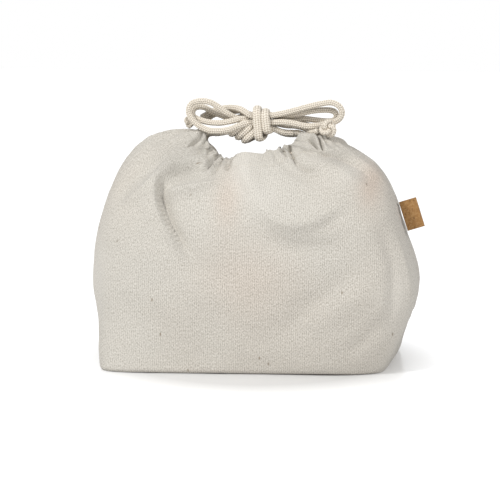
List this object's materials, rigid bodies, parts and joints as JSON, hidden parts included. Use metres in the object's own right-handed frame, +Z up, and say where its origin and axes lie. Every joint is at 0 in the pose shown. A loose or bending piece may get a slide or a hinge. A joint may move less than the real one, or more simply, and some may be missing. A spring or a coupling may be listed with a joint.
{
  "type": "drawstring lunch bag",
  "caption": "Boxed canvas lunch bag with a gathered mouth, drawcords tied in a bow over the opening and a folded cork tag in the side seam",
  "frame": {"origin": "the middle of the base, on the surface that the bag stands on", "axes": "+X towards the side seam with the cork tag, -Y towards the front, +Z up through the mouth"},
  "size_m": [0.2219, 0.1135, 0.1761],
  "materials": {
    "canvas": "unbleached linen and cotton plain weave, matt",
    "binding_tape": "cotton seam tape, matt",
    "cotton_cord": "soft round cotton cord, matt",
    "cork": "cork sheet on cloth, satin"
  },
  "bodies": {
    "bag": {"front_panel": "canvas", "back_panel": "canvas", "base_panel": "canvas", "front_hem_facing": "canvas", "back_hem_facing": "canvas", "left_seam_binding": "binding_tape", "right_seam_binding": "binding_tape", "base_seam_binding": "binding_tape", "left_drawcord_run": "cotton_cord", "right_drawcord_run": "cotton_cord"},
    "bow": {"front_carry_strand": "cotton_cord", "back_carry_strand": "cotton_cord", "front_bow_strand": "cotton_cord", "back_bow_strand": "cotton_cord", "bow_wrap": "cotton_cord", "half_knot": "cotton_cord", "left_stopper_knot": "cotton_cord", "right_stopper_knot": "cotton_cord"},
    "tag": {"cork_tag": "cork"}
  },
  "joints": [
    {"name": "bow_swing", "type": "hinge", "parent": "bag", "child": "bow", "pos_m": [0, 0, 0.15], "axis": [1, 0, 0], "range_deg": [-20, 2]},
    {"name": "tag_flap", "type": "hinge", "parent": "bag", "child": "tag", "pos_m": [0.10056, 0, 0.09886], "axis": [-0.3079, 0, 0.9514], "range_deg": [-80, 80]}
  ]
}
